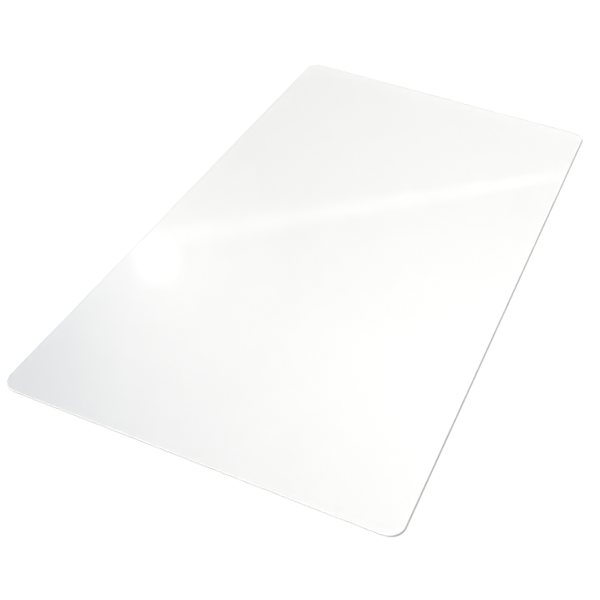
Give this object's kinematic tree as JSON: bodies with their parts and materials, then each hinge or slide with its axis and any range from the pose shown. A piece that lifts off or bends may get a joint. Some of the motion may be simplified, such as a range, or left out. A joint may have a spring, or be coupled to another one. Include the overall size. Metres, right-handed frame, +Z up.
{
  "type": "chair mat",
  "caption": "Thin clear flat rectangular mat with rounded corners, laid on a hard floor under a desk chair so that its castors roll without marking the floor.",
  "frame": {"origin": "on the floor, at the centre of the underside", "axes": "+Z up through the sheet; Y along the long side, X along the short side"},
  "size_m": [0.8, 1.5, 0.003],
  "materials": {
    "clear_wear_plastic": "water-clear hard plastic, high gloss, with a very faint grey edge",
    "clear_core_plastic": "clear flexible plastic, seen through the wear layer, faintly cool at its cut edge",
    "clear_grip_plastic": "clear soft plastic, slightly tacky, satin underneath"
  },
  "bodies": {
    "root": {"wear_layer": "clear_wear_plastic", "core_sheet": "clear_core_plastic", "grip_layer": "clear_grip_plastic"}
  },
  "joints": []
}
